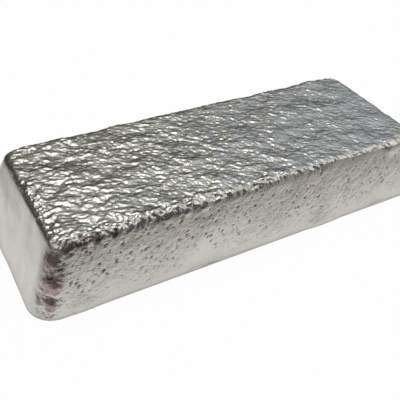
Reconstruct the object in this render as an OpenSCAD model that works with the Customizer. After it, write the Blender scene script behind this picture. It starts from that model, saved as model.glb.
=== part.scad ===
// Tin ingot: a small bar cast in an open mould and lying on its wide pour face.
// Sizes are in millimetres and angles in degrees.
// +X runs along the bar and +Z is up. The origin is the middle of the base, on the floor.

/* [Bar] */
// Length over the widest line of the two ends, just above the floor
base_length = 140.5; // [100:0.1:220]
// Width over the widest line of the long sides, just above the floor
base_width = 55.2; // [42:0.1:90]
// Height from the floor to the crests of the top face
height = 20.7; // [14:0.1:32]

/* [Draft] */
// Slope of the long sides, measured from upright
side_draft = 15; // [5:0.5:25]
// Slope of the two ends, measured from upright
end_draft = 23; // [5:0.5:32]

/* [Edges] */
// Radius of the shoulder that rolls from the walls into the top face
shoulder_radius = 2.7; // [1:0.1:4.5]
// Radius of the rim that rolls from the walls into the base
rim_radius = 1.1; // [0.4:0.1:2.5]
// Plan radius of the four upright corners where the walls would meet the top face
top_corner_radius = 4.5; // [3:0.1:8]
// Plan radius of the four upright corners where the walls would meet the floor
base_corner_radius = 7.7; // [4:0.1:14]

/* [Wrinkles] */
// Spacing of the rows of wrinkles across the top face
wrinkle_pitch = 8.2; // [7.4:0.1:14]
// Length of the longest hollow between two crests
wrinkle_length = 13.4; // [11:0.1:20]
// Width of the widest hollow between two crests
wrinkle_width = 6.2; // [3:0.1:6.6]
// Depth of the deepest hollow below the crests
wrinkle_depth = 0.9; // [0.3:0.05:1.4]
// Width of the level crest that is left between two hollows of a row
crest_width = 1.2; // [1:0.1:4]
// How far a hollow turns away from the length of the bar at most
wrinkle_turn = 10; // [0:1:15]

/* [Smoothness] */
// Steps round each upright corner
corner_steps = 14; // [6:1:24]
// Steps up the shoulder
shoulder_steps = 9; // [4:1:16]
// Steps up the rim
rim_steps = 6; // [3:1:12]

/* [Hidden] */

// Smallest plan radius that an upright corner keeps where the shoulder eats into it
least_corner = 0.4;
// Depth of metal below the floor that the base cut takes off
base_stock = 1;
// How far the base cut reaches past the bar on every side
cut_margin = 5;

// Level border that the wrinkles leave inside the shoulder
wrinkle_border = 0.4;
// Shares of the full depth and the full size that the least hollow has
least_depth_share = 0.6;
least_size_share = 0.75;
// Turns from one row and one place to the next that keep neighbouring hollows unlike
row_turn = 137;
place_turn = 61;
// Points round a hollow, and the rings that it is lofted through, as shares of its half size.
// The last ring lies above the crests, so that the hollow runs out of the top face.
hollow_steps = 10;
hollow_rings = [0.35, 0.75, 1.08];

tin_colour = [0.74, 0.74, 0.73];

steep_draft = min(side_draft, end_draft);
slack_draft = max(side_draft, end_draft);

// Heights of the rings that the walls are lofted through, from the floor to the top face
rim_heights = [for (i = [0:rim_steps])
    rim_radius * (1 + sin(-90 + (90 + slack_draft) * i / rim_steps))];
shoulder_heights = [for (i = [0:shoulder_steps])
    height - shoulder_radius * (1 - sin(steep_draft + (90 - steep_draft) * i / shoulder_steps))];
ring_heights = concat([-base_stock], rim_heights, shoulder_heights);

// Half size that a straight wall has at the floor, so that its rolled rim is half_size wide
function wall_foot(half_size, draft) =
    half_size + rim_radius * (tan(draft) + 1 / cos(draft) - 1);

// Half size of a straight wall at height z
function straight_reach(z, half_size, draft) = wall_foot(half_size, draft) - z * tan(draft);

// How far a rolled edge of radius r lies inside the straight wall it runs out of,
// at a height of rise above the centre of its arc
function roll_inset(r, rise, draft) =
    r / cos(draft) - rise * tan(draft) - sqrt(max(0, r * r - rise * rise));

// Inset of the rim or the shoulder at height z, and nothing on the wall between them
function edge_inset(z, draft) =
    let (
        low = max(z, 0) - rim_radius,
        high = z - (height - shoulder_radius)
    )
    low < rim_radius * sin(draft) ? roll_inset(rim_radius, low, draft) :
    high > shoulder_radius * sin(draft) ? roll_inset(shoulder_radius, high, draft) : 0;

// Half size of the bar at height z, with its rolled edges
function reach(z, half_size, draft) =
    straight_reach(max(z, 0), half_size, draft) - edge_inset(z, draft);

// Plan radius of the upright corners at height z
function corner_radius(z) =
    let (
        along = max(z, 0) / height,
        straight = base_corner_radius + (top_corner_radius - base_corner_radius) * along,
        inset = (edge_inset(z, side_draft) + edge_inset(z, end_draft)) / 2
    )
    max(straight - inset, least_corner);

// One ring of the loft: a rectangle with round corners, counter-clockwise seen from above
function ring(z) =
    let (
        half_length = reach(z, base_length / 2, end_draft),
        half_width = reach(z, base_width / 2, side_draft),
        radius = corner_radius(z)
    )
    [for (quarter = [0:3], step = [0:corner_steps])
        let (
            angle = 90 * (quarter + step / corner_steps),
            side_x = quarter == 0 || quarter == 3 ? 1 : -1,
            side_y = quarter < 2 ? 1 : -1
        )
        [
            side_x * (half_length - radius) + radius * cos(angle),
            side_y * (half_width - radius) + radius * sin(angle),
            z
        ]];

// Closed solid through rings that all have the same number of points
module loft(rings) {
    around = len(rings[0]);
    last = len(rings) - 1;
    walls = [for (level = [0:last - 1], i = [0:around - 1])
        let (next = (i + 1) % around)
        [
            level * around + i,
            (level + 1) * around + i,
            (level + 1) * around + next,
            level * around + next
        ]];
    floor_cap = [for (i = [0:around - 1]) i];
    top_cap = [for (i = [0:around - 1]) last * around + around - 1 - i];
    polyhedron([for (each_ring = rings) each each_ring], concat([floor_cap, top_cap], walls));
}

// Half of the level top face that the wrinkles fill, along the bar and across it
wrinkled_half_length = reach(height, base_length / 2, end_draft) - wrinkle_border;
wrinkled_half_width = reach(height, base_width / 2, side_draft) - wrinkle_border;

// Half width that a hollow takes up across the bar, at its greatest turn
turned_half_width = norm([
    wrinkle_length / 2 * sin(wrinkle_turn),
    wrinkle_width / 2 * cos(wrinkle_turn)
]);

// Rows on each side of the middle row, and hollows on each side of the middle of that row
side_rows = floor((wrinkled_half_width - turned_half_width) / wrinkle_pitch);
place_pitch = wrinkle_length + crest_width;
half_count = floor(wrinkled_half_length / place_pitch);

// One ring of a hollow: an oval at the given share of its half size, on a bowl of the given depth
function hollow_ring(share, size, depth) =
    [for (i = [0:hollow_steps - 1])
        let (angle = 360 * i / hollow_steps)
        [
            share * size * wrinkle_length / 2 * cos(angle),
            share * size * wrinkle_width / 2 * sin(angle),
            height - depth * (1 - share * share)
        ]];

// Share from least to 1 for a lot from -1 to 1
function share_between(least, lot) = (1 + least + (1 - least) * lot) / 2;

// A number from -1 to 1 that differs from one hollow to the next
function unevenness(row, place) = sin(row * row_turn + place * place_turn);

// One hollow of the top face. A smaller one lies off the middle of the room that it has,
// and no two neighbours have the same size, depth and turn.
module hollow(lot, other_lot) {
    size = share_between(least_size_share, lot);
    depth = wrinkle_depth * share_between(least_depth_share, other_lot);
    off_middle = (1 - size) / 2 * other_lot;
    translate([off_middle * wrinkle_length, off_middle * wrinkle_width, 0])
        rotate(wrinkle_turn * other_lot)
            loft([for (share = hollow_rings) hollow_ring(share, size, depth)]);
}

// All hollows of the top face, in rows that are staggered like scales
module wrinkles() {
    for (row = [-side_rows:side_rows]) {
        stagger = row % 2 == 0 ? 0.5 : 0;
        first = row % 2 == 0 ? -half_count : 1 - half_count;
        for (place = [first:half_count - 1])
            translate([(place + stagger) * place_pitch, row * wrinkle_pitch, 0])
                hollow(unevenness(row, place), unevenness(place, row));
    }
}

// The whole ingot, with its pour face cut flat on the floor
module ingot() {
    color(tin_colour)
    difference() {
        loft([for (z = ring_heights) ring(z)]);
        translate([0, 0, -base_stock - cut_margin / 2])
            cube(
                [base_length + 2 * cut_margin, base_width + 2 * cut_margin, 2 * base_stock + cut_margin],
                center = true
            );
        wrinkles();
    }
}

ingot();
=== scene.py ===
"""Cast tin ingot: a small bar with a wrinkled top and pitted walls, lying on a pale floor.

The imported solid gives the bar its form. A dense skin is drawn onto that form and takes the
relief of the casting: wrinkles on the top face, lumps on the shoulder, pits in the walls
and a few flaws that have a place of their own.
"""

import logging
import math
from dataclasses import dataclass
from enum import Enum
from typing import Any, Callable

import bpy
import numpy as np
from mathutils import Matrix, Vector


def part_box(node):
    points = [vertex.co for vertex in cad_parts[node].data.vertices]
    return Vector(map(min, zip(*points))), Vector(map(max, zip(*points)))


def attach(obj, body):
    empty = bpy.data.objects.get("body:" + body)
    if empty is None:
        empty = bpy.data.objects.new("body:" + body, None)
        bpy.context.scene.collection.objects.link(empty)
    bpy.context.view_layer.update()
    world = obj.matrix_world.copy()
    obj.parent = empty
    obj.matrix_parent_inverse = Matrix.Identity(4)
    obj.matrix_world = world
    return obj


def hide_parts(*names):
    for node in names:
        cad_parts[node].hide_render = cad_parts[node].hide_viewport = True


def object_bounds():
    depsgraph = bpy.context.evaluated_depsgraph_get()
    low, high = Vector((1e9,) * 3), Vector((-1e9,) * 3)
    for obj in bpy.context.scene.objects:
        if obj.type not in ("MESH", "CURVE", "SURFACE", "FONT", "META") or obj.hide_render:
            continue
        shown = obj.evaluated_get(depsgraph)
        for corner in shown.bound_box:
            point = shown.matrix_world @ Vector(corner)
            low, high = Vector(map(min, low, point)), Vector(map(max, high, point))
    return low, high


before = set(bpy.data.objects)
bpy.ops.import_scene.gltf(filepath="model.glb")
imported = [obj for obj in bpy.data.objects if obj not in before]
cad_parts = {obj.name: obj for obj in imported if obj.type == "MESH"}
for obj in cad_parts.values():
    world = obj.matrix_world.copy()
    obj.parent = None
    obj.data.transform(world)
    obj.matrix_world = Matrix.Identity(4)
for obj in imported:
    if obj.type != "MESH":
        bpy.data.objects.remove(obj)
cad_low, cad_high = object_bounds()

MM = 0.001
INGOT_NODE = "ingot"
BODY = "root"

# Values of a step that runs from none of a region or a finish to all of it
Step = tuple[float, float]

# Sockets that a mix node has for colours
MIX_FIRST = 6
MIX_SECOND = 7
MIX_RESULT = 2

WHITE = (1.0, 1.0, 1.0, 1.0)
HALF_TURN_DEG = 180.0
NOISE_MIDDLE = 0.5

log = logging.getLogger("ingot")


class Axis(Enum):
    """The bar's own directions: along it, across it and up."""

    ALONG = 0
    ACROSS = 1
    UP = 2


class Part(Enum):
    """Parts of a mesh, by Blender's names for its ways of selecting."""

    POINTS = "VERT"
    EDGES = "EDGE"
    FACES = "FACE"


class Easing(Enum):
    """How a step runs from its one limit to the other, by Blender's names."""

    EVEN = "LINEAR"
    SOFT = "SMOOTHSTEP"


def linear(colour: str) -> tuple[float, float, float, float]:
    """Turn an sRGB hex colour into the linear values that shaders take.

    Args:
        colour: Six hex digits, with or without a leading hash.

    Returns:
        Red, green and blue in linear light, and full opacity.
    """
    digits = colour.lstrip("#")
    channels = [int(digits[i:i + 2], 16) / 255 for i in (0, 2, 4)]
    red, green, blue = (
        c / 12.92 if c <= 0.04045 else ((c + 0.055) / 1.055) ** 2.4 for c in channels
    )
    return red, green, blue, 1.0


def add_node(
    tree: bpy.types.NodeTree,
    kind: str,
    inputs: dict[int | str, Any] | None = None,
    stops: list[tuple[float, str]] | None = None,
    **settings: Any,
) -> bpy.types.Node:
    """Add a node to a tree, with its settings and its links.

    Args:
        tree: Material, world or geometry tree that takes the node.
        kind: Blender's name for the kind of node.
        inputs: Socket to value, or to the output socket that is linked to it.
        stops: Positions and hex colours of a colour ramp.
        settings: Properties of the node itself.

    Returns:
        The new node.
    """
    made = tree.nodes.new(kind)
    for name, value in settings.items():
        setattr(made, name, value)
    for key, value in (inputs or {}).items():
        if isinstance(value, bpy.types.NodeSocket):
            tree.links.new(value, made.inputs[key])
        else:
            made.inputs[key].default_value = value
    if stops:
        ramp = made.color_ramp
        for place, _colour in stops[2:]:
            ramp.elements.new(place)
        for element, (place, colour) in zip(ramp.elements, sorted(stops)):
            element.position = place
            element.color = linear(colour)
    return made


def direction(azimuth_deg: float, elevation_deg: float) -> Vector:
    """Unit vector towards a place round the bar.

    Args:
        azimuth_deg: Angle from the front, towards the right.
        elevation_deg: Angle above the floor.

    Returns:
        The direction.
    """
    azimuth = math.radians(azimuth_deg)
    elevation = math.radians(elevation_deg)
    return Vector((
        math.sin(azimuth) * math.cos(elevation),
        -math.cos(azimuth) * math.cos(elevation),
        math.sin(elevation),
    ))


def deselect_all() -> None:
    """Leave every object unselected, so that an operator acts on new work only."""
    if bpy.context.object and bpy.context.object.mode != "OBJECT":
        bpy.ops.object.mode_set(mode="OBJECT")
    bpy.ops.object.select_all(action="DESELECT")


def select_parts(
    piece: bpy.types.Object,
    kind: Part,
    test: Callable[[np.ndarray], np.ndarray],
) -> None:
    """Select vertices, edges or faces of a piece by their place, then enter edit mode.

    Args:
        piece: Mesh object, active and in object mode.
        kind: Parts that are selected.
        test: Takes an array of corner points, one row of points for each part, and returns
            which parts are wanted.
    """
    bpy.ops.object.mode_set(mode="EDIT")
    bpy.ops.mesh.select_mode(type=kind.value)
    bpy.ops.mesh.select_all(action="DESELECT")
    bpy.ops.object.mode_set(mode="OBJECT")
    mesh = piece.data
    points = np.zeros(len(mesh.vertices) * 3)
    mesh.vertices.foreach_get("co", points)
    points = points.reshape(-1, 3)
    if kind is Part.POINTS:
        parts, corners = mesh.vertices, points[:, None, :]
    elif kind is Part.EDGES:
        ends = np.zeros(len(mesh.edges) * 2, dtype=int)
        mesh.edges.foreach_get("vertices", ends)
        parts, corners = mesh.edges, points[ends.reshape(-1, 2)]
    else:
        parts = mesh.polygons
        corners = np.array([[points[i] for i in face.vertices[:3]] for face in parts])
    parts.foreach_set("select", test(corners).astype(bool))
    bpy.ops.object.mode_set(mode="EDIT")


class Region(Enum):
    """Part of the skin that a layer of relief covers."""

    SKIN = "whole skin"
    TOP = "top face"
    NEAR_TOP = "top face, most of all at the near end"
    SHOULDER = "rolled shoulder of the front side"
    LIP = "lower part of the shoulder on the long sides"
    SIDE = "long walls"
    PITTED = "upper part of the long walls"
    END = "end walls"
    CORNER = "upright corners"


class Pattern(Enum):
    """Coordinates that a layer of relief is drawn in."""

    PLAIN = "as the bar lies"
    FLOW = "drawn out along the top face"
    SLANT = "leaning along the walls"


def near_place(
    tree: bpy.types.NodeTree,
    place: bpy.types.NodeSocket,
    at_mm: tuple[float, float, float],
    reach_mm: Step,
    full: float,
) -> bpy.types.NodeSocket:
    """Value that rises from zero towards one place.

    Args:
        tree: Tree that takes the nodes.
        place: Place in millimetres.
        at_mm: The place that is looked for.
        reach_mm: Distances at which the value is zero and full.
        full: The full value.

    Returns:
        The socket of the value.
    """
    apart = add_node(
        tree, "ShaderNodeVectorMath", {0: place, 1: at_mm}, operation="DISTANCE"
    ).outputs["Value"]
    return add_node(
        tree,
        "ShaderNodeMapRange",
        {"Value": apart, "From Min": reach_mm[0], "From Max": reach_mm[1], "To Max": full},
        interpolation_type=Easing.SOFT.value,
    ).outputs["Result"]


def all_steps(
    tree: bpy.types.NodeTree,
    steps: list[tuple[bpy.types.NodeSocket, float, float]],
    share: bpy.types.NodeSocket | float = 1.0,
    easing: Easing = Easing.SOFT,
) -> bpy.types.NodeSocket:
    """Share of a region that lies within several steps at once.

    Args:
        tree: Tree that takes the nodes.
        steps: Values, each with the limits of its step from none to all.
        share: Share that is there to start with.
        easing: How a step runs from its one limit to the other.

    Returns:
        The socket of the product of all steps.
    """
    for value, low, high in steps:
        step = add_node(
            tree,
            "ShaderNodeMapRange",
            {"Value": value, "From Min": low, "From Max": high},
            interpolation_type=easing.value,
        ).outputs["Result"]
        share = add_node(
            tree, "ShaderNodeMath", {0: step, 1: share}, operation="MULTIPLY"
        ).outputs[0]
    return share


@dataclass(frozen=True)
class Sway:
    """Waver of the place that a pattern is drawn at."""

    spacing_mm: float
    reach_mm: float
    middle: float = 0.0
    detail: float = 2.0

    def place(self, tree: bpy.types.NodeTree, plain: bpy.types.NodeSocket) -> bpy.types.NodeSocket:
        """Move a place about.

        Args:
            tree: Tree that takes the nodes.
            plain: Place in millimetres.

        Returns:
            The socket of the wavering place.
        """
        noise = add_node(
            tree,
            "ShaderNodeTexNoise",
            {"Vector": plain, "Scale": 1 / self.spacing_mm, "Detail": self.detail},
        ).outputs["Color"]
        even = add_node(
            tree, "ShaderNodeVectorMath", {0: noise, 1: (self.middle,) * 3}, operation="SUBTRACT"
        ).outputs[0]
        return add_node(
            tree,
            "ShaderNodeVectorMath",
            {0: even, 1: (self.reach_mm,) * 3, 2: plain},
            operation="MULTIPLY_ADD",
        ).outputs[0]


@dataclass(frozen=True)
class Rolling:
    """Lumps of all sizes from one spacing down."""

    spacing_mm: float
    height_mm: float
    detail: float = 2.0
    roughness: float = 0.5
    middle: float = NOISE_MIDDLE
    spread: float = 0.4

    def lift(self, tree: bpy.types.NodeTree, place: bpy.types.NodeSocket) -> bpy.types.NodeSocket:
        """Height of the lumps about zero.

        Args:
            tree: Tree that takes the nodes.
            place: Place in millimetres.

        Returns:
            The socket of the height in millimetres.
        """
        raw = add_node(
            tree,
            "ShaderNodeTexNoise",
            {
                "Vector": place,
                "Scale": 1 / self.spacing_mm,
                "Detail": self.detail,
                "Roughness": self.roughness,
            },
        ).outputs[0]
        return add_node(
            tree,
            "ShaderNodeMapRange",
            {
                "Value": raw,
                "From Min": self.middle - self.spread / 2,
                "From Max": self.middle + self.spread / 2,
                "To Min": -self.height_mm / 2,
                "To Max": self.height_mm / 2,
            },
            clamp=False,
        ).outputs["Result"]


@dataclass(frozen=True)
class Folds:
    """Long folds that wander over the skin, sunk below the level between them."""

    spacing_mm: float
    depth_mm: float
    width: float = 0.12
    detail: float = 1.0
    level: float = NOISE_MIDDLE

    def lift(self, tree: bpy.types.NodeTree, place: bpy.types.NodeSocket) -> bpy.types.NodeSocket:
        """Height of the folds, zero between them.

        Args:
            tree: Tree that takes the nodes.
            place: Place in millimetres.

        Returns:
            The socket of the height in millimetres.
        """
        raw = add_node(
            tree,
            "ShaderNodeTexNoise",
            {"Vector": place, "Scale": 1 / self.spacing_mm, "Detail": self.detail},
        ).outputs[0]
        apart = add_node(
            tree, "ShaderNodeMath", {0: raw, 1: self.level}, operation="SUBTRACT"
        ).outputs[0]
        away = add_node(tree, "ShaderNodeMath", {0: apart}, operation="ABSOLUTE").outputs[0]
        return add_node(
            tree,
            "ShaderNodeMapRange",
            {"Value": away, "From Max": self.width, "To Min": -self.depth_mm, "To Max": 0.0},
        ).outputs["Result"]


@dataclass(frozen=True)
class Scatter:
    """Scattered knobs, or pits where the height is negative."""

    spacing_mm: float
    height_mm: float
    reach: float = 0.4
    chosen: float = 0.5
    core: float = 0.05

    def lift(self, tree: bpy.types.NodeTree, place: bpy.types.NodeSocket) -> bpy.types.NodeSocket:
        """Height of the knobs, zero between them.

        Args:
            tree: Tree that takes the nodes.
            place: Place in millimetres.

        Returns:
            The socket of the height in millimetres.
        """
        cells = add_node(
            tree,
            "ShaderNodeTexVoronoi",
            {"Vector": place, "Scale": 1 / self.spacing_mm},
            voronoi_dimensions="2D",
        )
        near = add_node(
            tree,
            "ShaderNodeMapRange",
            {"Value": cells.outputs["Distance"], "From Min": self.reach, "From Max": self.core},
            interpolation_type=Easing.SOFT.value,
        ).outputs["Result"]
        lot = add_node(tree, "ShaderNodeSeparateXYZ", {0: cells.outputs["Color"]}).outputs["X"]
        size = add_node(
            tree,
            "ShaderNodeMapRange",
            {
                "Value": lot,
                "From Min": 1 - self.chosen,
                "From Max": 1.0,
                "To Max": self.height_mm,
            },
        ).outputs["Result"]
        return add_node(
            tree, "ShaderNodeMath", {0: near, 1: size}, operation="MULTIPLY"
        ).outputs[0]


@dataclass(frozen=True)
class Slant:
    """Coordinates that lean along the walls and are drawn out that way."""

    lean_deg: float = 27.0
    stretch: float = 2.6
    sway: Sway = Sway(0.8, 0.9)

    def place(self, tree: bpy.types.NodeTree, plain: bpy.types.NodeSocket) -> bpy.types.NodeSocket:
        """Lean a place over and draw it out.

        Args:
            tree: Tree that takes the nodes.
            plain: Place in millimetres.

        Returns:
            The socket of the place along the lean, across it and into the wall.
        """
        turned = add_node(
            tree,
            "ShaderNodeVectorRotate",
            {"Vector": self.sway.place(tree, plain), "Angle": math.radians(self.lean_deg)},
            rotation_type="Y_AXIS",
        ).outputs[0]
        lean = add_node(tree, "ShaderNodeSeparateXYZ", {0: turned}).outputs
        drawn = add_node(
            tree, "ShaderNodeMath", {0: lean["X"], 1: self.stretch}, operation="DIVIDE"
        ).outputs[0]
        return add_node(
            tree, "ShaderNodeCombineXYZ", {"X": drawn, "Y": lean["Z"], "Z": lean["Y"]}
        ).outputs[0]


WALL_SLANT = Slant()
GAS_PITS = Scatter(1.5, -0.23, 0.21, 0.6)
PIN_HOLES = Scatter(0.8, -0.16, 0.25, 0.6)
PIT_RISE_M = (2.0 * MM, 10.0 * MM)
PIT_THIN_M = (220.0 * MM, -50.0 * MM)


@dataclass(frozen=True)
class Flaw:
    """One swelling, or hollow where the height is negative, with a place of its own."""

    at_mm: tuple[float, float, float]
    reach_mm: float
    height_mm: float

    def lift(self, tree: bpy.types.NodeTree, place: bpy.types.NodeSocket) -> bpy.types.NodeSocket:
        """Height of the flaw, zero away from it.

        Args:
            tree: Tree that takes the nodes.
            place: Place in millimetres.

        Returns:
            The socket of the height in millimetres.
        """
        return near_place(tree, place, self.at_mm, (self.reach_mm, 0.0), self.height_mm)


@dataclass(frozen=True)
class CastRelief:
    """Relief that the mould and the cooling metal leave on the skin. Steps are in the upward
    part of the skin's normal, or in the squares of its level parts."""

    layers: tuple[tuple[Region, Pattern, Rolling | Folds | Scatter | Flaw], ...] = (
        (Region.SKIN, Pattern.PLAIN, Rolling(14.0, 0.25, 1.0)),
        (Region.TOP, Pattern.PLAIN, Rolling(9.0, 0.5, 1.0)),
        (Region.NEAR_TOP, Pattern.FLOW, Rolling(2.6, 0.22, 1.0)),
        (Region.NEAR_TOP, Pattern.FLOW, Folds(2.8, 0.16, 0.18)),
        (Region.TOP, Pattern.FLOW, Rolling(0.85, 0.29, 4.0, 0.65)),
        (Region.SHOULDER, Pattern.PLAIN, Rolling(2.4, 0.55, 1.0)),
        (Region.SHOULDER, Pattern.PLAIN, Rolling(1.0, 0.36, 3.0, 0.6)),
        (Region.LIP, Pattern.PLAIN, Rolling(3.2, 0.2, 1.0)),
        (Region.LIP, Pattern.PLAIN, Rolling(0.9, 0.24, 3.0, 0.6)),
        (Region.SIDE, Pattern.PLAIN, Rolling(5.0, 0.07)),
        (Region.SIDE, Pattern.SLANT, Rolling(0.9, 0.07)),
        (Region.PITTED, Pattern.SLANT, GAS_PITS),
        (Region.PITTED, Pattern.SLANT, PIN_HOLES),
        (Region.END, Pattern.PLAIN, Rolling(9.0, 0.12)),
        (Region.CORNER, Pattern.PLAIN, Rolling(2.2, 0.2)),
        (Region.CORNER, Pattern.PLAIN, Rolling(0.9, 0.16, 3.0, 0.6)),
        (Region.CORNER, Pattern.PLAIN, Flaw((-62.8, -22.0, 15.6), 2.6, 0.3)),
        (Region.CORNER, Pattern.PLAIN, Flaw((-64.0, -24.1, 10.0), 2.8, 0.4)),
        (Region.CORNER, Pattern.PLAIN, Flaw((-65.2, -25.6, 5.1), 2.6, 0.35)),
        (Region.SKIN, Pattern.PLAIN, Flaw((-19.0, -27.5, 1.0), 11.0, -0.6)),
        (Region.SKIN, Pattern.PLAIN, Flaw((22.5, -27.5, 1.0), 9.0, 0.5)),
        (Region.SKIN, Pattern.PLAIN, Flaw((46.7, -27.5, 1.0), 7.0, -0.5)),
        (Region.SKIN, Pattern.PLAIN, Flaw((-57.5, -27.5, 1.0), 6.0, 0.35)),
        (Region.SKIN, Pattern.PLAIN, Flaw((-20.0, -22.0, 19.0), 2.2, 0.35)),
        (Region.SKIN, Pattern.PLAIN, Flaw((-25.5, -22.0, 19.0), 1.8, 0.3)),
        (Region.SKIN, Pattern.PLAIN, Flaw((-53.0, -21.5, 19.2), 2.0, 0.6)),
        (Region.SKIN, Pattern.PLAIN, Flaw((50.0, -21.0, 19.8), 5.5, 0.6)),
    )
    half_flat_mm: tuple[float, float, float] = (60.25, 20.3, 0.0)
    edge_band_mm: float = 4.0
    fade_from_mm: float = -50.0
    fade_to_mm: float = 55.0
    front_from_mm: float = -10.0
    front_to_mm: float = 15.0
    lip_fade_to_mm: float = -15.0
    calm_from_mm: float = -60.0
    calm_to_mm: float = 190.0
    flow_sway: Sway = Sway(5.0, 1.5)
    flow_stretch: float = 1.35
    flow_bend_from_mm: float = -127.0
    flow_bend: float = 0.0035
    not_below: Step = (-0.6, -0.1)
    faces_up: Step = (0.5, 0.85)
    over_wall: Step = (0.42, 0.6)
    over_lip: Step = (0.27, 0.36)
    under_top: Step = (0.7, 0.5)
    on_wall: Step = (0.7, 0.4)
    long_edge: Step = (0.3, 0.1)
    pitted_side: Step = (0.3, 0.08)
    long_side: Step = (0.6, 0.2)
    end_side: Step = (0.5, 0.8)
    both_sides: Step = (0.03, 0.13)
    edge_full_mm: float = 0.5

    def tree(self) -> bpy.types.NodeTree:
        """Build the geometry nodes that push the skin in and out along its normal.

        Returns:
            The node group for the skin's modifier.
        """
        tree = bpy.data.node_groups.new("cast_relief", "GeometryNodeTree")
        for way in ("INPUT", "OUTPUT"):
            tree.interface.new_socket("Geometry", in_out=way, socket_type="NodeSocketGeometry")
        skin = add_node(tree, "NodeGroupInput").outputs[0]
        normal = add_node(tree, "GeometryNodeInputNormal").outputs[0]
        masks = self.masks(tree, normal)
        places = self.places(tree)
        lift = 0.0
        for region, pattern, layer in self.layers:
            lift = add_node(
                tree,
                "ShaderNodeMath",
                {0: layer.lift(tree, places[pattern]), 1: masks[region], 2: lift},
                operation="MULTIPLY_ADD",
            ).outputs[0]
        lift_m = add_node(
            tree, "ShaderNodeMath", {0: lift, 1: MM}, operation="MULTIPLY"
        ).outputs[0]
        offset = add_node(
            tree, "ShaderNodeVectorMath", {0: normal, "Scale": lift_m}, operation="SCALE"
        ).outputs[0]
        moved = add_node(
            tree, "GeometryNodeSetPosition", {"Geometry": skin, "Offset": offset}
        ).outputs[0]
        add_node(tree, "NodeGroupOutput", {0: moved})
        return tree

    def masks(
        self, tree: bpy.types.NodeTree, normal: bpy.types.NodeSocket
    ) -> dict[Region, bpy.types.NodeSocket]:
        """Tell the regions apart by the way the bare skin faces.

        Args:
            tree: Tree that takes the nodes.
            normal: Normal of the bare skin.

        Returns:
            A socket for each region, 1 inside it and 0 outside.
        """
        squares = add_node(
            tree, "ShaderNodeVectorMath", {0: normal, 1: normal}, operation="MULTIPLY"
        ).outputs[0]
        square = add_node(tree, "ShaderNodeSeparateXYZ", {0: squares}).outputs
        up = add_node(tree, "ShaderNodeSeparateXYZ", {0: normal}).outputs["Z"]
        both = add_node(
            tree, "ShaderNodeMath", {0: square["X"], 1: square["Y"]}, operation="MULTIPLY"
        ).outputs[0]
        inside = self.edge_distance(tree)
        position = add_node(tree, "GeometryNodeInputPosition").outputs[0]
        at = add_node(tree, "ShaderNodeSeparateXYZ", {0: position}).outputs
        skin = (up, *self.not_below)
        wall = (up, *self.on_wall)
        fading = (at["X"], self.fade_to_mm * MM, self.fade_from_mm * MM)
        lip_fading = (at["X"], self.lip_fade_to_mm * MM, self.fade_from_mm * MM)
        calming = (at["X"], self.calm_to_mm * MM, self.calm_from_mm * MM)
        in_front = (at["Y"], self.front_to_mm * MM, self.front_from_mm * MM)
        thinning = (at["X"], *PIT_THIN_M)
        steps = {
            Region.SKIN: [skin],
            Region.TOP: [(up, *self.faces_up)],
            Region.NEAR_TOP: [(up, *self.faces_up), calming],
            Region.SHOULDER: [
                (up, *self.over_wall),
                (inside, self.edge_band_mm, self.edge_full_mm),
                (square["X"], *self.long_edge),
                fading,
                in_front,
            ],
            Region.LIP: [
                (up, *self.over_lip),
                (up, *self.under_top),
                (square["X"], *self.long_edge),
                lip_fading,
            ],
            Region.SIDE: [wall, skin, (square["X"], *self.long_side)],
            Region.PITTED: [
                wall,
                (square["X"], *self.pitted_side),
                (at["Z"], *PIT_RISE_M),
                thinning,
            ],
            Region.END: [wall, skin, (square["X"], *self.end_side)],
            Region.CORNER: [wall, skin, (both, *self.both_sides)],
        }
        return {region: all_steps(tree, tests) for region, tests in steps.items()}

    def edge_distance(self, tree: bpy.types.NodeTree) -> bpy.types.NodeSocket:
        """Distance from the edge of the flat top face, towards its middle, in millimetres.

        Args:
            tree: Tree that takes the nodes.

        Returns:
            The socket of the distance.
        """
        position = add_node(tree, "GeometryNodeInputPosition").outputs[0]
        apart = add_node(
            tree, "ShaderNodeVectorMath", {0: position}, operation="ABSOLUTE"
        ).outputs[0]
        half_flat = tuple(half * MM for half in self.half_flat_mm)
        left = add_node(
            tree, "ShaderNodeVectorMath", {0: half_flat, 1: apart}, operation="SUBTRACT"
        ).outputs[0]
        gap = add_node(tree, "ShaderNodeSeparateXYZ", {0: left}).outputs
        least = add_node(
            tree, "ShaderNodeMath", {0: gap["X"], 1: gap["Y"]}, operation="MINIMUM"
        ).outputs[0]
        return add_node(
            tree, "ShaderNodeMath", {0: least, 1: MM}, operation="DIVIDE"
        ).outputs[0]

    def places(self, tree: bpy.types.NodeTree) -> dict[Pattern, bpy.types.NodeSocket]:
        """Give the coordinates that the layers are drawn in, in millimetres.

        Args:
            tree: Tree that takes the nodes.

        Returns:
            A socket for each pattern.
        """
        position = add_node(tree, "GeometryNodeInputPosition").outputs[0]
        plain = add_node(
            tree, "ShaderNodeVectorMath", {0: position, "Scale": 1 / MM}, operation="SCALE"
        ).outputs[0]
        return {
            Pattern.PLAIN: plain,
            Pattern.FLOW: self.flow(tree, plain),
            Pattern.SLANT: WALL_SLANT.place(tree, plain),
        }

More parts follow.
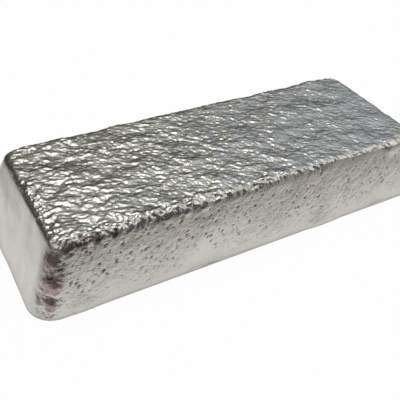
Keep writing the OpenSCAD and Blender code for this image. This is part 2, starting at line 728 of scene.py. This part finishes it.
    def flow(
        self, tree: bpy.types.NodeTree, place: bpy.types.NodeSocket
    ) -> bpy.types.NodeSocket:
        """Draw the pattern of the top face out along the bar and turn it towards the far end.

        Args:
            tree: Tree that takes the nodes.
            place: Place in millimetres.

        Returns:
            The socket of the drawn place.
        """
        swayed = self.flow_sway.place(tree, place)
        axes = add_node(tree, "ShaderNodeSeparateXYZ", {0: swayed}).outputs
        past = add_node(
            tree,
            "ShaderNodeMath",
            {0: axes["X"], 1: self.flow_bend_from_mm},
            operation="SUBTRACT",
        ).outputs[0]
        kept = add_node(tree, "ShaderNodeMath", {0: past, 1: 0.0}, operation="MAXIMUM").outputs[0]
        square = add_node(
            tree, "ShaderNodeMath", {0: kept, 1: kept}, operation="MULTIPLY"
        ).outputs[0]
        turned = add_node(
            tree,
            "ShaderNodeMath",
            {0: square, 1: self.flow_bend / 2, 2: axes["Y"]},
            operation="MULTIPLY_ADD",
        ).outputs[0]
        along = add_node(
            tree, "ShaderNodeMath", {0: axes["X"], 1: self.flow_stretch}, operation="DIVIDE"
        ).outputs[0]
        return add_node(
            tree, "ShaderNodeCombineXYZ", {"X": along, "Y": turned, "Z": axes["Z"]}
        ).outputs[0]


@dataclass(frozen=True)
class PaintedPatch:
    """One ragged patch of colour painted on the metal, with a place of its own; most of them are
    painted reflection of the dark room.
    """

    at_mm: tuple[float, float, float]
    reach_mm: float
    colour: str
    share: float = 0.6

    def cover(self, tree: bpy.types.NodeTree, place: bpy.types.NodeSocket) -> bpy.types.NodeSocket:
        """How far the painted patch covers the metal.

        Args:
            tree: The shader tree.
            place: Ragged place in millimetres.

        Returns:
            The socket of the share, zero away from the patch.
        """
        limits = (self.reach_mm, self.reach_mm / 2)
        return near_place(tree, place, self.at_mm, limits, self.share)


@dataclass(frozen=True)
class CastTin:
    """Tin, cast in an open mould: bright warm grey metal that mirrors the room in its glossy
    top face and shows a soft satin sheen on the walls, where the mould was rough."""

    name: str = "tin_as_cast"
    body: str = "#cbc8c1"
    shade: str = "#c3c1be"
    # Painted shade: the dark inside of the pits in the long walls.
    pit_shade: str = "#5a534e"
    painted_patches: tuple[PaintedPatch, ...] = (
        # Painted reflection: the dark reddish-brown room mirrored in the lumps of the near corner.
        PaintedPatch((-62.8, -22.0, 15.6), 3.4, "#7c5e57", 0.65),
        PaintedPatch((-64.0, -24.1, 10.0), 3.4, "#7c5e57", 0.65),
        PaintedPatch((-65.2, -25.6, 5.1), 2.6, "#7c5e57", 0.65),
        # Painted reflection: dark pockets along the left of the front shoulder, mirroring the dark
        # room in front.
        PaintedPatch((-58.6, -22.2, 19.3), 2.2, "#5e514e", 0.65),
        PaintedPatch((-55.2, -22.3, 19.2), 2.3, "#5e514e", 0.7),
        PaintedPatch((-51.4, -22.2, 19.3), 2.5, "#5e514e", 0.8),
        PaintedPatch((-46.5, -22.3, 19.1), 1.7, "#5e514e", 0.75),
        # A darker grey patch low on the near end.
        PaintedPatch((-68.0, -23.8, 6.6), 2.6, "#84817e", 0.6),
    )
    ragged: Sway = Sway(1.2, 3.0, NOISE_MIDDLE)
    film_mm: float = 6.0
    film_detail: float = 3.0
    film_step: Step = (0.35, 0.65)
    pit_from_mm: float = 0.02
    pit_to_mm: float = 0.1
    pit_wall_mm: Step = (21.8, 23.0)
    pit_below_mm: Step = (19.0, 17.5)
    top_from_mm: float = 16.0
    top_to_mm: float = 18.5
    top_roughness: float = 0.1
    wall_roughness: float = 0.2
    grain: Rolling = Rolling(0.4, 0.035)

    def material(self) -> bpy.types.Material:
        """Build the metal with its faint mottling, its painted patches of reflection, its painted
        shade in the pits and its grain.

        Returns:
            The finished material.
        """
        made = bpy.data.materials.new(self.name)
        made.use_nodes = True
        tree = made.node_tree
        tree.nodes.clear()
        place = add_node(tree, "ShaderNodeTexCoord").outputs["Object"]
        in_mm = add_node(
            tree, "ShaderNodeVectorMath", {0: place, "Scale": 1 / MM}, operation="SCALE"
        ).outputs[0]
        height = add_node(tree, "ShaderNodeSeparateXYZ", {0: in_mm}).outputs["Z"]
        film = add_node(
            tree,
            "ShaderNodeTexNoise",
            {"Vector": in_mm, "Scale": 1 / self.film_mm, "Detail": self.film_detail},
        ).outputs["Fac"]
        tone = add_node(
            tree,
            "ShaderNodeValToRGB",
            {"Fac": film},
            stops=list(zip(self.film_step, (self.shade, self.body))),
        ).outputs["Color"]
        ragged = self.ragged.place(tree, in_mm)
        # Painted patches of reflection, then painted shade in the pits, darken the mottled tone.
        for share, colour in (
            *((painted_patch.cover(tree, ragged), painted_patch.colour) for painted_patch in self.painted_patches),
            (self.pit_shade_share(tree, in_mm), self.pit_shade),
        ):
            tone = add_node(
                tree,
                "ShaderNodeMix",
                {0: share, MIX_FIRST: tone, MIX_SECOND: linear(colour)},
                data_type="RGBA",
            ).outputs[MIX_RESULT]
        roughness = add_node(
            tree,
            "ShaderNodeMapRange",
            {
                "Value": height,
                "From Min": self.top_from_mm,
                "From Max": self.top_to_mm,
                "To Min": self.wall_roughness,
                "To Max": self.top_roughness,
            },
        ).outputs["Result"]
        bump = add_node(
            tree,
            "ShaderNodeBump",
            {"Height": self.grain.lift(tree, in_mm), "Distance": MM, "Strength": 1.0},
        ).outputs["Normal"]
        metal = add_node(
            tree,
            "ShaderNodeBsdfPrincipled",
            {"Base Color": tone, "Metallic": 1.0, "Roughness": roughness, "Normal": bump},
        )
        add_node(tree, "ShaderNodeOutputMaterial", {"Surface": metal.outputs["BSDF"]})
        return made

    def pit_shade_share(self, tree: bpy.types.NodeTree, place: bpy.types.NodeSocket) -> bpy.types.NodeSocket:
        """Where the pits of the long walls are, darkened inside as painted shade of the hollows.

        Args:
            tree: The shader tree.
            place: Place in millimetres.

        Returns:
            The socket of the darkening, from 0 to 1.
        """
        apart = add_node(tree, "ShaderNodeVectorMath", {0: place}, operation="ABSOLUTE").outputs[0]
        axes = add_node(tree, "ShaderNodeSeparateXYZ", {0: apart}).outputs
        slant = WALL_SLANT.place(tree, place)
        depth = 0.0
        for pits in (GAS_PITS, PIN_HOLES):
            depth = add_node(
                tree,
                "ShaderNodeMath",
                {0: pits.lift(tree, slant), 1: depth},
                operation="ADD",
            ).outputs[0]
        share = add_node(
            tree,
            "ShaderNodeMapRange",
            {"Value": depth, "From Min": -self.pit_from_mm, "From Max": -self.pit_to_mm},
        ).outputs["Result"]
        along = add_node(tree, "ShaderNodeSeparateXYZ", {0: place}).outputs["X"]
        steps = [
            (axes["Y"], *self.pit_wall_mm),
            (axes["Z"], *self.pit_below_mm),
            (axes["Z"], *(rise / MM for rise in PIT_RISE_M)),
            (along, *(thin / MM for thin in PIT_THIN_M)),
        ]
        return all_steps(tree, steps, share, easing=Easing.EVEN)


@dataclass
class IngotBar:
    """The bar itself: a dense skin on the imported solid, with its relief and its metal."""

    relief: CastRelief
    metal: CastTin
    side_draft_deg: float = 15.0
    end_draft_deg: float = 23.0
    flange_mm: float = 3.0
    flange_step: float = 0.01
    tiny_mm: float = 0.01
    cuts_along: tuple[int, ...] = (20, 18)
    cuts_across: tuple[int, ...] = (11, 11)
    cuts_up: tuple[int, ...] = (54,)
    cuts_flange: tuple[int, ...] = (3,)
    smooth_passes: int = 10
    hollow_share: float = 0.1
    shoulder_mm: float = 3.0
    wall_reach_mm: float = 7.5
    hidden_share: float = 0.14

    def build(self) -> bpy.types.Object:
        """Model the skin and hand it to the frame in place of the solid.

        Returns:
            The finished piece.
        """
        piece = self.block()
        self.divide(piece)
        self.draw_onto_solid(piece)
        self.close_base(piece)
        self.cast(piece)
        self.dress(piece)
        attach(piece, BODY)
        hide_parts(INGOT_NODE)
        return piece

    def block(self) -> bpy.types.Object:
        """Start from a block with sloping walls and a flange under its rim.

        Returns:
            The open block.
        """
        low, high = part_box(INGOT_NODE)
        size = high - low
        deselect_all()
        bpy.ops.mesh.primitive_cube_add(size=1.0, location=(low + high) / 2, scale=size)
        piece = bpy.context.object
        piece.name = "tin_ingot"
        bpy.ops.object.transform_apply(location=True, rotation=True, scale=True)
        middle = (low.z + high.z) / 2
        select_parts(piece, Part.POINTS, lambda p: p[:, 0, 2] > middle)
        bpy.ops.transform.resize(
            value=(
                1 - 2 * size.z * math.tan(math.radians(self.end_draft_deg)) / size.x,
                1 - 2 * size.z * math.tan(math.radians(self.side_draft_deg)) / size.y,
                1,
            )
        )
        bpy.ops.object.mode_set(mode="OBJECT")
        select_parts(piece, Part.FACES, lambda p: p[:, :, 2].max(axis=1) < middle)
        bpy.ops.mesh.inset(thickness=self.flange_mm * MM)
        bpy.ops.mesh.delete(type="ONLY_FACE")
        bpy.ops.object.mode_set(mode="OBJECT")
        return piece

    def divide(self, piece: bpy.types.Object) -> None:
        """Cut the walls, the top and the flange into a fine grid, in passes of a few cuts each.

        Args:
            piece: The open block.
        """
        low, _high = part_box(INGOT_NODE)
        tiny = self.tiny_mm * MM

        def runs(axis: Axis) -> Callable[[np.ndarray], np.ndarray]:
            """Test for edges that keep to one of the bar's directions."""
            others = [i for i in range(3) if i != axis.value]

            def test(p: np.ndarray) -> np.ndarray:
                """Edges whose ends differ along the axis alone."""
                return (np.abs(p[:, 0] - p[:, 1])[:, others] < tiny).all(axis=1)

            return test

        def climbs(p: np.ndarray) -> np.ndarray:
            """Edges that lead up the walls."""
            return np.abs(p[:, 0, 2] - p[:, 1, 2]) > tiny

        def crosses_flange(p: np.ndarray) -> np.ndarray:
            """Edges on the floor that join the rim to the inner edge of the flange."""
            flat = np.abs(p[:, :, 2] - low.z).max(axis=1) < tiny
            reach = np.maximum(p[:, :, 0] / low.x, p[:, :, 1] / low.y)
            return flat & (np.abs(reach[:, 0] - reach[:, 1]) > self.flange_step)

        for test, passes in (
            (runs(Axis.ALONG), self.cuts_along),
            (runs(Axis.ACROSS), self.cuts_across),
            (climbs, self.cuts_up),
            (crosses_flange, self.cuts_flange),
        ):
            for cuts in passes:
                select_parts(piece, Part.EDGES, test)
                bpy.ops.mesh.subdivide(number_cuts=cuts)
                bpy.ops.object.mode_set(mode="OBJECT")

    def draw_onto_solid(self, piece: bpy.types.Object) -> None:
        """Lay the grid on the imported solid, so that it takes its rolled edges and corners.

        Args:
            piece: The divided block.
        """
        wrap = piece.modifiers.new("lie_on_solid", "SHRINKWRAP")
        wrap.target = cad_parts[INGOT_NODE]
        wrap.wrap_method = "NEAREST_SURFACEPOINT"
        bpy.ops.object.modifier_apply(modifier=wrap.name)
        _low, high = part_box(INGOT_NODE)
        half_length, half_width, _none = (half * MM for half in self.relief.half_flat_mm)
        select_parts(
            piece,
            Part.POINTS,
            lambda p: (np.abs(p[:, 0, 0]) < half_length)
            & (np.abs(p[:, 0, 1]) < half_width)
            & (p[:, 0, 2] > high.z - self.shoulder_mm * MM),
        )
        bpy.ops.transform.resize(
            value=(1, 1, self.hollow_share), center_override=(0, 0, high.z)
        )
        bpy.ops.object.mode_set(mode="OBJECT")
        smooth = piece.modifiers.new("ease_facets", "SMOOTH")
        smooth.iterations = self.smooth_passes
        bpy.ops.object.modifier_apply(modifier=smooth.name)

    def close_base(self, piece: bpy.types.Object) -> None:
        """Fill the pour face that lies on the floor.

        Args:
            piece: The skin, open below.
        """
        bpy.ops.object.mode_set(mode="EDIT")
        bpy.ops.mesh.select_mode(type="EDGE")
        bpy.ops.mesh.select_all(action="DESELECT")
        bpy.ops.mesh.select_non_manifold()
        bpy.ops.mesh.edge_face_add()
        bpy.ops.mesh.select_all(action="SELECT")
        bpy.ops.mesh.normals_make_consistent(inside=False)
        bpy.ops.object.mode_set(mode="OBJECT")

    def cast(self, piece: bpy.types.Object) -> None:
        """Give the skin its relief.

        Args:
            piece: The closed skin.
        """
        push = piece.modifiers.new("cast_relief", "NODES")
        push.node_group = self.relief.tree()
        bpy.ops.object.modifier_apply(modifier=push.name)
        bpy.ops.object.shade_smooth()
        self.thin_hidden_walls(piece)

    def thin_hidden_walls(self, piece: bpy.types.Object) -> None:
        """Keep fewer faces on the back wall and the far end, which are plainer.

        Args:
            piece: The skin with its relief.
        """
        _low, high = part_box(INGOT_NODE)

        def plain(p: np.ndarray) -> np.ndarray:
            """Faces of the back wall and the far end, below the shoulder."""
            middle = p.mean(axis=1)
            below = middle[:, 2] < high.z - self.shoulder_mm * MM
            back = middle[:, 1] > high.y - self.wall_reach_mm * MM
            far = middle[:, 0] > high.x - self.wall_reach_mm * MM
            return below & (back | far)

        select_parts(piece, Part.FACES, plain)
        bpy.ops.mesh.decimate(ratio=self.hidden_share)
        bpy.ops.object.mode_set(mode="OBJECT")

    def dress(self, piece: bpy.types.Object) -> None:
        """Give the skin its metal.

        Args:
            piece: The finished mesh.
        """
        piece.data.materials.clear()
        piece.data.materials.append(self.metal.material())


@dataclass(frozen=True)
class PaleFloor:
    """Plain white floor that stays white to the eye, with a soft shadow. The metal sees painted
    light on it: a painted shadow along the bar's outline, then bright beside the bar and dimmer
    further off, as a lit sheet on a table. Stops of its tone are shares of the lit reach."""

    radius_m: float = 3.0
    edges: int = 96
    drop_mm: float = 0.05
    colour: str = "#f4f4f2"
    evenness: float = 0.98
    lit_mm: float = 160.0
    # Painted shadow of the bar along its outline, seen only in the metal.
    painted_contact_shadow: str = "#cccac7"
    near_tone: str = "#fdfdfb"
    middle_tone: str = "#d6d4d0"
    far_tone: str = "#a8a6a1"
    edge_tone: str = "#75736e"
    near_from: float = 0.025
    near_to: float = 0.1
    middle_at: float = 0.26
    far_at: float = 0.42
    right_tone: str = "#cfccc0"
    right_from_mm: float = 100.0
    right_to_mm: float = 180.0

    def build(self) -> bpy.types.Object:
        """Lay the floor just under the bar.

        Returns:
            The floor.
        """
        deselect_all()
        bpy.ops.mesh.primitive_circle_add(
            vertices=self.edges,
            radius=self.radius_m,
            fill_type="NGON",
            location=(0, 0, cad_low.z - self.drop_mm * MM),
        )
        floor = bpy.context.object
        floor.name = "floor"
        bpy.ops.object.transform_apply(location=True, rotation=True, scale=True)
        floor.data.materials.append(self.material())
        return floor

    def material(self) -> bpy.types.Material:
        """Matt white, evened out where the camera looks at it and dimming in the metal.

        Returns:
            The floor's material.
        """
        made = bpy.data.materials.new("matt_white_floor")
        made.use_nodes = True
        tree = made.node_tree
        tree.nodes.clear()
        path = add_node(tree, "ShaderNodeLightPath").outputs
        matt = add_node(tree, "ShaderNodeBsdfDiffuse", {"Color": linear(self.colour)})
        even = add_node(tree, "ShaderNodeEmission", {"Color": WHITE, "Strength": 1.0})
        mirrored = add_node(
            tree, "ShaderNodeEmission", {"Color": self.painted_floor_light(tree), "Strength": 1.0}
        )
        share = add_node(
            tree,
            "ShaderNodeMath",
            {0: path["Is Camera Ray"], 1: self.evenness},
            operation="MULTIPLY",
        ).outputs[0]
        to_eye = add_node(
            tree, "ShaderNodeMixShader", {0: share, 1: matt.outputs[0], 2: even.outputs[0]}
        ).outputs[0]
        to_metal = add_node(
            tree,
            "ShaderNodeMixShader",
            {0: path["Is Glossy Ray"], 1: to_eye, 2: mirrored.outputs[0]},
        ).outputs[0]
        add_node(tree, "ShaderNodeOutputMaterial", {"Surface": to_metal})
        return made

    def painted_floor_light(self, tree: bpy.types.NodeTree) -> bpy.types.NodeSocket:
        """Painted light of the floor in the metal, by its distance from the bar's outline: a
        painted shadow at the outline, then a painted pool of light that dims further off, paler far
        off to the right.

        Args:
            tree: The floor's shader tree.

        Returns:
            The socket of the colour.
        """
        place = add_node(tree, "ShaderNodeTexCoord").outputs["Object"]
        apart = add_node(tree, "ShaderNodeVectorMath", {0: place}, operation="ABSOLUTE").outputs[0]
        past = add_node(
            tree,
            "ShaderNodeVectorMath",
            {0: apart, 1: (cad_high.x, cad_high.y, 1.0)},
            operation="SUBTRACT",
        ).outputs[0]
        outside = add_node(
            tree, "ShaderNodeVectorMath", {0: past, 1: (0, 0, 0)}, operation="MAXIMUM"
        ).outputs[0]
        distance = add_node(
            tree, "ShaderNodeVectorMath", {0: outside}, operation="LENGTH"
        ).outputs["Value"]
        share = add_node(
            tree, "ShaderNodeMath", {0: distance, 1: self.lit_mm * MM}, operation="DIVIDE"
        ).outputs[0]
        tone = add_node(
            tree,
            "ShaderNodeValToRGB",
            {"Fac": share},
            stops=[
                # Painted shadow at the outline, then a painted pool of light that dims further off.
                (0.0, self.painted_contact_shadow),
                (self.near_from, self.near_tone),
                (self.near_to, self.near_tone),
                (self.middle_at, self.middle_tone),
                (self.far_at, self.far_tone),
                (1.0, self.edge_tone),
            ],
        ).outputs["Color"]
        along = add_node(tree, "ShaderNodeSeparateXYZ", {0: place}).outputs["X"]
        rightness = add_node(
            tree,
            "ShaderNodeMapRange",
            {
                "Value": along,
                "From Min": self.right_from_mm * MM,
                "From Max": self.right_to_mm * MM,
            },
        ).outputs["Result"]
        return add_node(
            tree,
            "ShaderNodeMix",
            {0: rightness, MIX_FIRST: tone, MIX_SECOND: linear(self.right_tone)},
            data_type="RGBA",
        ).outputs[MIX_RESULT]


@dataclass(frozen=True)
class SoftBox:
    """A plain rectangular studio lamp that looks at the bar."""

    name: str = "overhead_softbox"
    azimuth_deg: float = 195.0
    elevation_deg: float = 70.0
    distance_m: float = 0.8
    width_m: float = 0.5
    height_m: float = 0.5
    radiance: float = 0.4
    colour: str = "#ffffff"

    def build(self) -> bpy.types.Object:
        """Hang the lamp.

        Returns:
            The lamp.
        """
        lamp = bpy.data.lights.new(self.name, "AREA")
        lamp.shape = "RECTANGLE"
        lamp.size = self.width_m
        lamp.size_y = self.height_m
        lamp.color = linear(self.colour)[:3]
        lamp.energy = self.radiance * math.pi * self.width_m * self.height_m
        made = bpy.data.objects.new(self.name, lamp)
        bpy.context.scene.collection.objects.link(made)
        towards = direction(self.azimuth_deg, self.elevation_deg)
        made.location = towards * self.distance_m
        made.rotation_euler = towards.to_track_quat("Z", "Y").to_euler()
        return made


@dataclass(frozen=True)
class RoomRing:
    """One level of the room round the bar: a tone for each direction. Angles are measured from
    the front, towards the right."""

    back: str
    back_left: str
    left: str
    front: str
    front_right: str
    right_front: str
    right: str
    back_right: str
    dark_to_deg: float
    pale_from_deg: float
    back_to_deg: float = -172.0
    back_left_deg: float = -155.0
    left_deg: float = -80.0
    front_deg: float = -30.0
    right_deg: float = 92.0
    back_right_deg: float = 125.0
    back_from_deg: float = 155.0

    def tone(
        self, tree: bpy.types.NodeTree, turn: bpy.types.NodeSocket
    ) -> bpy.types.NodeSocket:
        """Tone of the ring by the direction round the bar.

        Args:
            tree: The world's tree.
            turn: Share of the turn, from back by way of left, front and right.

        Returns:
            The socket of the colour.
        """
        places = {
            -HALF_TURN_DEG: self.back,
            self.back_to_deg: self.back,
            self.back_left_deg: self.back_left,
            self.left_deg: self.left,
            self.front_deg: self.front,
            self.dark_to_deg: self.front_right,
            self.pale_from_deg: self.right_front,
            self.right_deg: self.right,
            self.back_right_deg: self.back_right,
            self.back_from_deg: self.back,
        }
        return add_node(
            tree,
            "ShaderNodeValToRGB",
            {"Fac": turn},
            stops=[
                ((degrees / HALF_TURN_DEG + 1) / 2, tone) for degrees, tone in places.items()
            ],
        ).outputs["Color"]


@dataclass(frozen=True)
class Window:
    """One soft window in the room, brightest in its middle."""

    azimuth_deg: float
    elevation_deg: float
    inner_deg: float
    outer_deg: float
    light: float
    colour: str = "#fffdf9"

    def tone(self) -> list[float]:
        """Colour of the window at its full light."""
        return [channel * self.light for channel in linear(self.colour)]

    def glow(
        self, tree: bpy.types.NodeTree, way: bpy.types.NodeSocket
    ) -> bpy.types.NodeSocket:
        """How far a direction lies within the window.

        Args:
            tree: The world's tree.
            way: Direction that is looked in.

        Returns:
            The socket of the share, 1 in the middle and 0 outside.
        """
        towards = direction(self.azimuth_deg, self.elevation_deg)
        nearness = add_node(
            tree, "ShaderNodeVectorMath", {0: way, 1: towards}, operation="DOT_PRODUCT"
        ).outputs["Value"]
        return add_node(
            tree,
            "ShaderNodeMapRange",
            {
                "Value": nearness,
                "From Min": math.cos(math.radians(self.outer_deg)),
                "From Max": math.cos(math.radians(self.inner_deg)),
            },
        ).outputs["Result"]


@dataclass(frozen=True)
class Studio:
    """The room as the metal mirrors it: dark at the right of the front, grey to the left, pale
    to the right and high up behind, under a dark ceiling with soft windows. To the camera it
    is white."""

    low: RoomRing = RoomRing(
        back="#262523",
        back_left="#2e2d1c",
        left="#7d7976",
        front="#767472",
        front_right="#2a2726",
        right_front="#c0c2c6",
        right="#6f7172",
        back_right="#6a7078",
        dark_to_deg=26,
        pale_from_deg=36,
    )
    high: RoomRing = RoomRing(
        back="#bcbeb6",
        back_left="#7e7858",
        left="#b4b0ac",
        front="#9c9a98",
        front_right="#343130",
        right_front="#c6c6c8",
        right="#c6c2a2",
        back_right="#e6f0fb",
        dark_to_deg=40,
        pale_from_deg=54,
    )
    ceiling: str = "#5e5c59"
    high_to: float = 0.72
    high_curve: float = 1.8
    ceiling_to: float = 0.95
    windows: tuple[Window, ...] = (
        Window(170.0, 72.0, 9.0, 23.0, 2.3),
        Window(84.0, 47.0, 8.0, 21.0, 1.4),
        Window(-80.0, 50.0, 8.0, 26.0, 1.2),
    )

    def build(self) -> None:
        """Set the world."""
        world = bpy.data.worlds.new("studio")
        bpy.context.scene.world = world
        world.use_nodes = True
        tree = world.node_tree
        tree.nodes.clear()
        way = add_node(tree, "ShaderNodeTexCoord").outputs["Generated"]
        axes = add_node(tree, "ShaderNodeSeparateXYZ", {0: way}).outputs
        forward = add_node(
            tree, "ShaderNodeMath", {0: axes["Y"], 1: -1.0}, operation="MULTIPLY"
        ).outputs[0]
        azimuth = add_node(
            tree, "ShaderNodeMath", {0: axes["X"], 1: forward}, operation="ARCTAN2"
        ).outputs[0]
        turn = add_node(
            tree,
            "ShaderNodeMapRange",
            {"Value": azimuth, "From Min": -math.pi, "From Max": math.pi},
        ).outputs["Result"]
        climb = add_node(
            tree, "ShaderNodeMapRange", {"Value": axes["Z"], "From Max": self.high_to}
        ).outputs["Result"]
        rise = add_node(
            tree, "ShaderNodeMath", {0: climb, 1: self.high_curve}, operation="POWER"
        ).outputs[0]
        arch = add_node(
            tree,
            "ShaderNodeMapRange",
            {"Value": axes["Z"], "From Min": self.high_to, "From Max": self.ceiling_to},
        ).outputs["Result"]
        tone = self.low.tone(tree, turn)
        for share, higher in (
            (rise, self.high.tone(tree, turn)),
            (arch, linear(self.ceiling)),
            *((window.glow(tree, way), window.tone()) for window in self.windows),
        ):
            tone = add_node(
                tree,
                "ShaderNodeMix",
                {0: share, MIX_FIRST: tone, MIX_SECOND: higher},
                data_type="RGBA",
            ).outputs[MIX_RESULT]
        path = add_node(tree, "ShaderNodeLightPath").outputs
        seen = add_node(
            tree,
            "ShaderNodeMix",
            {0: path["Is Camera Ray"], MIX_FIRST: tone, MIX_SECOND: WHITE},
            data_type="RGBA",
        ).outputs[MIX_RESULT]
        light = add_node(tree, "ShaderNodeBackground", {"Color": seen, "Strength": 1.0})
        add_node(tree, "ShaderNodeOutputWorld", {"Surface": light.outputs[0]})


@dataclass(frozen=True)
class PhotoCamera:
    """Camera at the photograph's viewing angle, aimed at the middle of the bar's base."""

    azimuth_deg: float = -33.81
    elevation_deg: float = 39.24
    roll_deg: float = 5.89
    distance_mm: float = 192.7
    slide_right_mm: float = -6.0
    slide_up_mm: float = -2.07
    focal_px: float = 583.1
    frame_px: float = 400.0
    sensor_mm: float = 36.0

    def build(self) -> bpy.types.Object:
        """Set up the camera and make it the scene's own.

        Returns:
            The camera.
        """
        roll = math.radians(self.roll_deg)
        back = direction(self.azimuth_deg, self.elevation_deg)
        level = Vector((0, 0, 1)).cross(back).normalized()
        upright = back.cross(level)
        right = level * math.cos(roll) + upright * math.sin(roll)
        up = upright * math.cos(roll) - level * math.sin(roll)
        lens = bpy.data.cameras.new("photo_camera")
        lens.sensor_width = self.sensor_mm
        lens.lens = self.focal_px / self.frame_px * self.sensor_mm
        lens.clip_start = MM
        made = bpy.data.objects.new("photo_camera", lens)
        bpy.context.scene.collection.objects.link(made)
        place = back * self.distance_mm + right * self.slide_right_mm + up * self.slide_up_mm
        turn = Matrix((right, up, back)).transposed().to_4x4()
        made.matrix_world = Matrix.Translation(place * MM) @ turn
        bpy.context.scene.camera = made
        return made


def main() -> None:
    """Build the bar, its floor, its light and its camera, and log the bar's face count."""
    logging.basicConfig(level=logging.INFO, format="%(name)s: %(message)s")
    PhotoCamera().build()
    bar = IngotBar(relief=CastRelief(), metal=CastTin()).build()
    log.info("%s: %d faces", bar.name, len(bar.data.polygons))
    floor = PaleFloor().build()
    log.info("%s: laid", floor.name)
    lamp = SoftBox().build()
    log.info("%s: hung", lamp.name)
    Studio().build()
    bpy.context.scene.view_settings.view_transform = "Standard"


if __name__ == "__main__":
    main()
